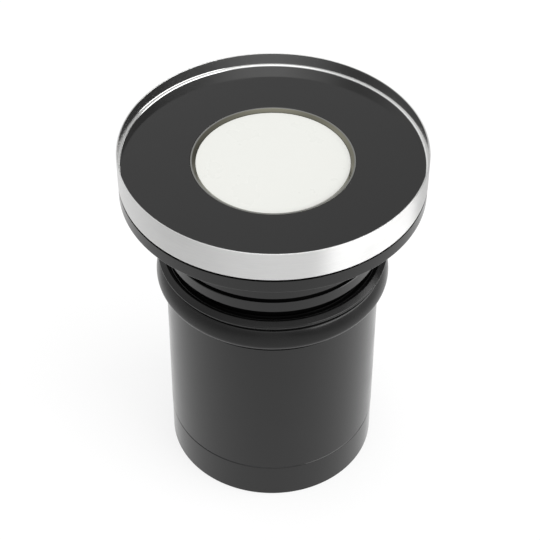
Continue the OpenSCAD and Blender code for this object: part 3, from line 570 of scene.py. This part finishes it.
spots = node(tracks, "ShaderNodeMapRange", {
    "Value": grid.outputs["Distance"], "From Min": 0.15, "From Max": 0.19, "To Min": 1.0,
    "To Max": 0.0})
chosen = node(tracks, "ShaderNodeMath", {0: grid.outputs["Color"], 1: 0.5},
              operation="GREATER_THAN")
flat = node(tracks, "ShaderNodeCombineXYZ", {"X": spot.outputs["X"], "Y": spot.outputs["Y"]})
reach = node(tracks, "ShaderNodeVectorMath", {0: flat.outputs[0]}, operation="LENGTH")
inside = node(tracks, "ShaderNodeMath", {0: reach.outputs["Value"], 1: given.outputs["Rim"]},
              operation="LESS_THAN")
shown = node(tracks, "ShaderNodeMath", {0: chosen.outputs[0], 1: inside.outputs[0]},
             operation="MULTIPLY")
for marks, factor, title in ((runs, inside, "Tracks"), (spots, shown, "Lands")):
    masked = node(tracks, "ShaderNodeMath", {0: marks.outputs[0], 1: factor.outputs[0]},
                  operation="MULTIPLY")
    tracks.links.new(masked.outputs[0], out.inputs[title])


def circuit_board(name, mask, over_copper, pitch, rim):
    """A coated circuit board: its mask, the tracks that show through it, and solder lands.
    Tracks and lands stay inside the rim. Pitch and rim are in mm."""
    material, tree, place = new_material(name)
    copper = node(tree, "ShaderNodeGroup", node_tree=tracks)
    copper.inputs["Pitch"].default_value = pitch * MM
    copper.inputs["Rim"].default_value = rim * MM
    tree.links.new(place, copper.inputs["Vector"])
    coat = node(tree, "ShaderNodeMix", {
        "Factor": copper.outputs["Tracks"], 6: (*mask, 1), 7: (*over_copper, 1)},
        data_type="RGBA")
    colour = node(tree, "ShaderNodeMix", {
        "Factor": copper.outputs["Lands"], 6: coat.outputs[2], 7: (0.55, 0.53, 0.48, 1)},
        data_type="RGBA")
    roughness = node(tree, "ShaderNodeMapRange", {
        "Value": copper.outputs["Lands"], "To Min": 0.38, "To Max": 0.22})
    bump = node(tree, "ShaderNodeBump", {
        "Height": copper.outputs["Tracks"], "Strength": 0.5, "Distance": 0.03 * MM})
    shader = node(tree, "ShaderNodeBsdfPrincipled", {
        "Base Color": colour.outputs[2], "Roughness": roughness.outputs[0],
        "Metallic": copper.outputs["Lands"], "Normal": bump.outputs[0]})
    node(tree, "ShaderNodeOutputMaterial", {"Surface": shader.outputs[0]})
    return material


def coated(name, material):
    """Gives a piece that stays as the CAD made it its material."""
    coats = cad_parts[name].data.materials
    coats.clear()
    coats.append(material)


coated("driver_board", circuit_board(
    "green_circuit_board", (0.008, 0.075, 0.03), (0.03, 0.16, 0.06), 2.6, 15.7))


# Driver parts. A controller, a bridge, a regulator and four resistors on the board's upper
# side: black moulded bodies on tinned legs, soldered flat. Heights are over the board.
board_top = 47.45
legs = [((x, y, 0), (x + 0.9, y + 0.4, 0.25)) for x in (-9.0, -3.9)
        for y in (3.45, 4.35, 5.25, 6.15, 7.05)]
legs += [((x, y, 0), (x + 0.6, y + 0.9, 0.55)) for x in (3.7, 6.7) for y in (3.0, 8.1)]
legs += [((x, -5.0, 0), (x + 0.5, -4.3, 0.35)) for x in (-1.75, -0.25, 1.25)]
legs += [((-1.3, -2.5, 0), (1.3, -2.0, 0.45))]
ends = [((x, y, 0), (x + 1.2, y + 0.35, 0.9)) for x in (6.0, 8.0)
        for y in (-5.0, -3.75, -3.0, -1.75)]
bodies = [((-8.3, 3.0, 0.1), (-3.7, 8.0, 1.8)), ((3.0, 3.7, 0.15), (8.0, 8.3, 2.4)),
          ((-2.0, -4.5, 0.1), (2.0, -2.4, 1.2))]
bodies += [((x, y + 0.3, 0.05), (x + 1.2, y + 1.3, 0.85)) for x in (6.0, 8.0)
           for y in (-5.0, -3.0)]
packages = blocks("driver_packages", [(0.12, bodies), (0.05, legs + ends)],
                  [Matrix.Translation((0, 0, board_top * MM))])
placed(packages, "light", "chip_black", "driver_chips",
       moulded("black_epoxy", 0.012, 0.02, 0.5, pit_size=0.1), plated)


# Heat plate and thermal pad. A turned aluminium disc on the barrel's ledge and a soft grey
# pad carry the lamp board's heat into the barrel.
coated("heat_plate", turned_metal(
    "turned_aluminium", (0.48, 0.49, 0.50), (0.62, 0.63, 0.64), 0.32, line_width=0.15))
coated("thermal_pad", moulded(
    "soft_grey_pad", (0.22, 0.27, 0.34), (0.28, 0.33, 0.40), 0.7, pit_size=0.4))


# Lamp board and light packages. A white coated metal board carries six packages in a ring
# and one in the middle, each a white frame round a yellow phosphor window.
coated("lamp_board", circuit_board(
    "white_lamp_board", (0.78, 0.78, 0.74), (0.68, 0.68, 0.63), 4.2, 16.8))
lamp_top, chip_circle, frame_half, window_half = 61.05, 3.9, 1.4, 1.05
middles = [(0, 0)] + [(chip_circle * math.cos(math.pi / 3 * i),
                       chip_circle * math.sin(math.pi / 3 * i)) for i in range(6)]
chips = blocks("light_packages", [
    (edge, [((x - half, y - half, low), (x + half, y + half, high)) for x, y in middles])
    for edge, half, low, high in ((0.1, frame_half, 0, 0.55), (0.14, window_half, 0.25, 0.7))],
    [Matrix.Translation((0, 0, lamp_top * MM))])
placed(chips, "light", "chip_yellow", "light_chips",
       moulded("white_package", 0.70, 0.76, 0.4, pit_size=0.1),
       moulded("yellow_phosphor", (0.72, 0.44, 0.05), (0.80, 0.52, 0.08), 0.28,
               pit_size=0.06))


# Board screws. Three plated pan head screws with hexagon sockets hold the lamp board down.
screw_circle, thread_radius, screw_end = 13.9, 1.25, -4.5
head_radius, head_top, socket_radius, socket_depth = 2.3, 1.6, 0.87, 0.8
screw_places = [
    Matrix.Rotation(math.radians(90 + 120 * i), 4, "Z")
    @ Matrix.Translation((screw_circle * MM, 0, lamp_top * MM)) for i in range(3)]
ridges = [(thread_radius - 0.2 * (i % 2), -4.0 + 0.2 * i) for i in range(18)]
screws = turned("lamp_board_screws", [
    (0, screw_end), (0.9, screw_end), *ridges, (thread_radius, 0), (head_radius, 0),
    (head_radius, 0.75), (2.0, 1.3), (1.3, head_top), (0, head_top)],
    [(0.15, (21, 22)), (0.5, (23, 24))], 48, screw_places)
sockets = bmesh.new()
for place in screw_places:
    bmesh.ops.create_cone(
        sockets, cap_ends=True, segments=6, radius1=socket_radius * MM,
        radius2=socket_radius * MM, depth=2 * socket_depth * MM,
        matrix=place @ Matrix.Translation((0, 0, head_top * MM)))
combined(screws, finished("screw_sockets", sockets), "DIFFERENCE")
placed(screws, "light", "screw_steel", "board_screws", plated)


# Lead wires. Two red insulated leads rise from the driver board through the heat plate and
# end in solder on the lamp board.
bare_below, bare_above = 48.0, 60.6
leads = turned("red_leads", [
    (0, board_top), (0.45, board_top), (0.45, bare_below), (0.55, bare_below + 0.05),
    (0.55, bare_above), (0.4, bare_above + 0.1), (0.4, lamp_top), (1.05, lamp_top),
    (0.8, lamp_top + 0.2), (0.5, lamp_top + 0.4), (0.4, lamp_top + 0.5), (0, lamp_top + 0.5)],
    steps=32, places=[Matrix.Translation((x * MM, -12.7 * MM, 0)) for x in (-1.6, 1.6)])
for face in leads.data.polygons:
    face.material_index = int(
        not bare_below + 0.02 < face.center.z / MM < bare_above + 0.05)
placed(leads, "light", "lead_red", "lead_wires",
       moulded("red_insulation", (0.36, 0.015, 0.01), (0.44, 0.02, 0.015), 0.38,
               pit_size=0.15), plated)


# Reflector. A white moulded cup whose rim rests in the flange's pocket, and which spreads
# the light up to the lens.
pocket_floor, cup_top = 70.4, 71.6
cup = turned("reflector_cup", [
    (6.2, lamp_top), (7.4, lamp_top), (16.2, pocket_floor), (18.05, pocket_floor),
    (18.05, cup_top), (15.0, cup_top)], [(0.15, (0, 1, 3, 4)), (0.4, (2,))])
placed(cup, "light", "reflector_white", "reflector",
       moulded("white_moulding", 0.74, 0.80, 0.3, pit_size=0.5, depth=0.004))


# Flange body. The black anodised plate that rests on the deck, with the neck below it and
# the raised land above it that the cover's gasket lies on.
neck_radius, plate_radius, plate_foot, plate_top = 21.65, 29.95, 67.9, 70.7
land_radius, land_top = 28.9, 72.0
fillet = [(neck_radius + 0.6 - 0.6 * math.sin(a), plate_foot - 0.6 + 0.6 * math.cos(a))
          for a in (math.pi / 2 * i / 8 for i in range(9))]
flange = turned("flange_and_neck", [
    (land_radius, land_top), (land_radius, plate_top), (plate_radius, plate_top),
    (plate_radius, plate_foot + 0.2), (plate_radius - 0.2, plate_foot), *fillet,
    (neck_radius, neck_foot), (19.4, neck_foot), (19.4, 61.95), (16.9, 61.95),
    (16.9, pocket_floor), (18.15, pocket_floor), (18.15, land_top)],
    [(0.06, (2,)), (0.1, (3, 4)), (0.05, (14,))])
placed(flange, "light", "body_black", "flange_body", anodised)


# Lens seal and cover gasket. Two flat rubber rings: one under the lens's edge, one between
# the flange's land and the cover.
lens_radius, lens_foot, cover_foot = 17.3, 72.2, 72.6
for name, inner, outer, low, high, stands_for in (
        ("lens_flat_seal", 15.95, lens_radius, cup_top, lens_foot, "lens_seal"),
        ("cover_flat_gasket", 25.85, land_radius, land_top, cover_foot, "cover_gasket")):
    seal = turned(name, [(inner, low), (outer, low), (outer, high), (inner, high)],
                  [(0.12, (0, 1, 2, 3))])
    placed(seal, "light", "seal_rubber", stands_for, seal_rubber)


# Lens. An opal white plastic disc with a raised centre that fills the trim ring and a thin
# clamped edge. It looks flat and evenly white when the lamp is off.
disc_radius, lens_edge, lens_top = 14.95, 73.4, 74.05
lens = turned("opal_lens", [
    (0, lens_foot), (lens_radius, lens_foot), (lens_radius, lens_edge),
    (disc_radius, lens_edge), (disc_radius, lens_top), (0, lens_top)], [(0.08, (4,))])
opal = moulded("opal_white", (0.681, 0.686, 0.654), (0.683, 0.688, 0.656), 0.3, pit_size=0.4,
               depth=0.001, specular=0.3)
placed(lens, "light", "lens_white", "window_lens", opal)


# Window trim. A thin turned ring in the window's hole, with a narrow flat top of satin
# aluminium and a bevel that falls to the lens, whose darker olive tone is painted shade.
window_radius, cover_top = 16.0, 74.6
trim_bore, trim_radius = disc_radius + 0.05, window_radius - 0.05
trim = turned("window_trim_ring", [
    (trim_bore, lens_edge), (trim_radius, lens_edge), (trim_radius, cover_top),
    (15.62, cover_top), (trim_bore, cover_top - 0.5)], [(0.03, (2, 3))])
# Faces that don't face straight up take the bevel's darker olive tone, which is painted shade.
for face in trim.data.polygons:
    face.material_index = int(face.normal.z < 0.95)
placed(trim, "light", "trim_metal", "window_trim", turned_metal(
    "satin_aluminium", (0.22, 0.22, 0.21), (0.28, 0.28, 0.27), 0.15), turned_metal(
    "painted_shade_bevel", (0.15, 0.145, 0.115), (0.20, 0.195, 0.155), 0.12))


# Cover plate. A glossy black disc under the bezel's lip, with the window's hole in it. Its
# polish is very even, with only faint wiping marks.
cover_radius = 29.45
cover = turned("gloss_cover", [
    (window_radius, lens_edge), (lens_radius + 0.05, lens_edge),
    (lens_radius + 0.05, cover_foot), (cover_radius, cover_foot), (cover_radius, cover_top),
    (window_radius, cover_top)], [(0.1, (5,)), (0.15, (4,))])
gloss_black = moulded("gloss_black", 0.001, 0.002, 0.09, pit_size=0.9, depth=0.0004)
placed(cover, "light", "cover_black", "cover_plate", gloss_black)


# Bezel ring. Turned stainless steel with a rim as thin as a knife, a bright rounded lip that
# holds the cover, and a skirt beside it. Fine lines run round it.
bezel_radius, rim_wall, bezel_foot, rim_top, lip_height = 30.0, 0.25, 71.05, 77.55, 0.3
skirt_bore = cover_radius + 0.05
lip = [(29.7 - 0.38 * math.cos(a), cover_top + lip_height * math.sin(a))
       for a in (math.pi / 2 * i / 6 for i in range(7))]
bezel = turned("steel_bezel", [
    (skirt_bore, bezel_foot), (bezel_radius, bezel_foot), (bezel_radius, rim_top),
    (bezel_radius - rim_wall, rim_top), (bezel_radius - rim_wall, cover_top + lip_height),
    *reversed(lip), (skirt_bore, cover_top)],
    [(0.3, (1,)), (0.08, (2,)), (0.05, (3,))], 320)
for face in bezel.data.polygons:
    face.material_index = int(face.normal.xy.dot(face.center.xy) < 0)
placed(bezel, "light", "bezel_steel", "bezel_ring", turned_metal(
    "brushed_steel", (0.66, 0.66, 0.655), (0.79, 0.79, 0.785), 0.42, line_width=0.07,
    streaks=9.0, depth=0.001, turn=0.95), turned_metal(
    "bright_steel", (0.66, 0.66, 0.655), (0.74, 0.74, 0.735), 0.16, line_width=0.1,
    streaks=9.0, depth=0.0005))


# Floor. A plain white table whose glow is painted light, so that the shadow round the foot
# stays faint. The painted glow grows weaker towards the viewer and, beyond the picture, to
# both sides, which is painted shade. It lies a hair below the cap, whose underside stays clean.
bm = bmesh.new()
bmesh.ops.create_grid(bm, x_segments=1, y_segments=1, size=3.0,
                      matrix=Matrix.Translation((0, 0, -0.02 * MM)))
floor = finished("studio_floor", bm)
paper = bpy.data.materials.new("studio_white_painted_glow")
paper.use_nodes = True
white = paper.node_tree.nodes["Principled BSDF"].inputs
white["Base Color"].default_value = (0.255, 0.255, 0.255, 1)
white["Roughness"].default_value = 0.9
white["Specular IOR Level"].default_value = 0.0
# Painted light: the floor glows, less towards the viewer and at both sides, which paints shade
# there.
white["Emission Color"].default_value = (1, 1, 1, 1)
spot = node(paper.node_tree, "ShaderNodeSeparateXYZ", {
    0: node(paper.node_tree, "ShaderNodeTexCoord").outputs["Object"]})
painted_glow_by_depth = node(paper.node_tree, "ShaderNodeMapRange", {
    "Value": spot.outputs["Y"], "From Min": -0.3, "From Max": -0.03, "To Min": 0.43,
    "To Max": 0.735})
right = node(paper.node_tree, "ShaderNodeMapRange", {
    "Value": spot.outputs["X"], "From Min": 0.076, "From Max": 0.13, "To Max": 0.36},
    interpolation_type="SMOOTHSTEP")
left = node(paper.node_tree, "ShaderNodeMapRange", {
    "Value": spot.outputs["X"], "From Min": -0.13, "From Max": -0.076, "To Min": 0.3,
    "To Max": 0.0}, interpolation_type="SMOOTHSTEP")
sides = node(paper.node_tree, "ShaderNodeMath", {0: right.outputs[0], 1: left.outputs[0]})
painted_glow = node(paper.node_tree, "ShaderNodeMath", {0: painted_glow_by_depth.outputs[0], 1: sides.outputs[0]},
               operation="SUBTRACT")
paper.node_tree.links.new(painted_glow.outputs[0], white["Emission Strength"])
floor.data.materials.append(paper)
floor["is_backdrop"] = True


# Light. A white tent, brightest overhead and behind the part at the left, with dim low
# sides over a bright horizon, and a glow in front for the inside of the rim. A wide soft box
# at the right lights the bezel's side, and a small one overhead lights its lip.
world = bpy.data.worlds.new("white_tent")
bpy.context.scene.world = world
world.use_nodes = True
sky = world.node_tree
heading = node(sky, "ShaderNodeSeparateXYZ", {
    0: node(sky, "ShaderNodeTexCoord").outputs["Generated"]})
back = node(sky, "ShaderNodeMapRange", {
    "Value": heading.outputs["X"], "From Min": -0.8, "From Max": 0.8, "To Min": 1.2,
    "To Max": 0.5})
level = node(sky, "ShaderNodeMapRange", {
    "Value": heading.outputs["Y"], "From Min": -0.3, "From Max": 0.3, "To Min": 0.8},
    interpolation_type="SMOOTHSTEP")
sky.links.new(back.outputs[0], level.inputs["To Max"])
aside = node(sky, "ShaderNodeMath", {0: heading.outputs["X"], 1: heading.outputs["X"]},
             operation="MULTIPLY")
low_band = node(sky, "ShaderNodeMapRange", {
    "Value": heading.outputs["Z"], "From Min": 0.25, "From Max": 0.6, "To Min": 0.55,
    "To Max": 0.0}, interpolation_type="SMOOTHSTEP")
horizon = node(sky, "ShaderNodeMapRange", {
    "Value": heading.outputs["Z"], "From Min": 0.02, "From Max": 0.2, "To Min": 1.1,
    "To Max": 0.0}, interpolation_type="SMOOTHSTEP")
band = node(sky, "ShaderNodeMath", {0: low_band.outputs[0], 1: horizon.outputs[0]},
            operation="SUBTRACT")
dark = node(sky, "ShaderNodeMath", {0: aside.outputs[0], 1: band.outputs[0]},
            operation="MULTIPLY")
walls = node(sky, "ShaderNodeMath", {0: level.outputs[0], 1: dark.outputs[0]},
             operation="SUBTRACT")
tent = node(sky, "ShaderNodeMapRange", {
    "Value": heading.outputs["Z"], "From Min": 0.82, "From Max": 0.98, "To Max": 1.4},
    interpolation_type="SMOOTHSTEP")
sky.links.new(walls.outputs[0], tent.inputs["To Min"])
off_centre = node(sky, "ShaderNodeVectorMath", {
    0: sky.nodes["Texture Coordinate"].outputs["Generated"], 1: (0.06, -0.8, 0.6)},
    operation="SUBTRACT")
flattened = node(sky, "ShaderNodeVectorMath", {0: off_centre.outputs[0], 1: (0.5, 1, 3)},
                 operation="MULTIPLY")
away = node(sky, "ShaderNodeVectorMath", {0: flattened.outputs[0]}, operation="LENGTH")
glow = node(sky, "ShaderNodeMapRange", {
    "Value": away.outputs["Value"], "From Max": 0.6, "To Min": 1.6, "To Max": 0.0},
    interpolation_type="SMOOTHSTEP")
light = node(sky, "ShaderNodeMath", {0: tent.outputs[0], 1: glow.outputs[0]})
sky.links.new(light.outputs[0], sky.nodes["Background"].inputs["Strength"])
sky.nodes["Background"].inputs["Color"].default_value = (1, 1, 1, 1)


def soft_box(name, place, aim, width, height, radiance):
    """A rectangular area light at place that faces aim. Lengths are in metres."""
    lamp = bpy.data.lights.new(name, "AREA")
    lamp.shape, lamp.size, lamp.size_y = "RECTANGLE", width, height
    lamp.energy = radiance * math.pi * width * height
    box = bpy.data.objects.new(name, lamp)
    box.location = place
    box.rotation_euler = (Vector(aim) - Vector(place)).to_track_quat("-Z", "Y").to_euler()
    bpy.context.scene.collection.objects.link(box)


soft_box("right_box", (0.85, -0.31, 0.35), (0, 0, 0.04), 1.3, 0.5, 5.0)
soft_box("top_box", (0, 0.02, 0.9), (0, 0, 0.04), 0.35, 0.35, 1.6)


# Camera. It stands where the photograph's circles put it, in front of the axis and above
# the rim. The focal length is in pixels of a picture 540 wide, and the angles in degrees.
in_front, above_rim, focal_pixels = 257.77, 213.9938, 1750.1
yaw, pitch, roll = 0.111, 43.71, 0.269
lens_data = bpy.data.cameras.new("camera")
lens_data.sensor_width = 36.0
lens_data.lens = lens_data.sensor_width * focal_pixels / 540
lens_data.clip_start, lens_data.clip_end = 0.01, 20.0
camera = bpy.data.objects.new("camera", lens_data)
camera.matrix_world = (
    Matrix.Translation((0, -in_front * MM, (rim_top + above_rim) * MM))
    @ Matrix.Rotation(math.radians(yaw), 4, "Z")
    @ Matrix.Rotation(math.radians(90 - pitch), 4, "X")
    @ Matrix.Rotation(math.radians(roll), 4, "Z"))
bpy.context.scene.collection.objects.link(camera)
bpy.context.scene.camera = camera
bpy.context.scene.view_settings.view_transform = "Standard"

low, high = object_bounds()
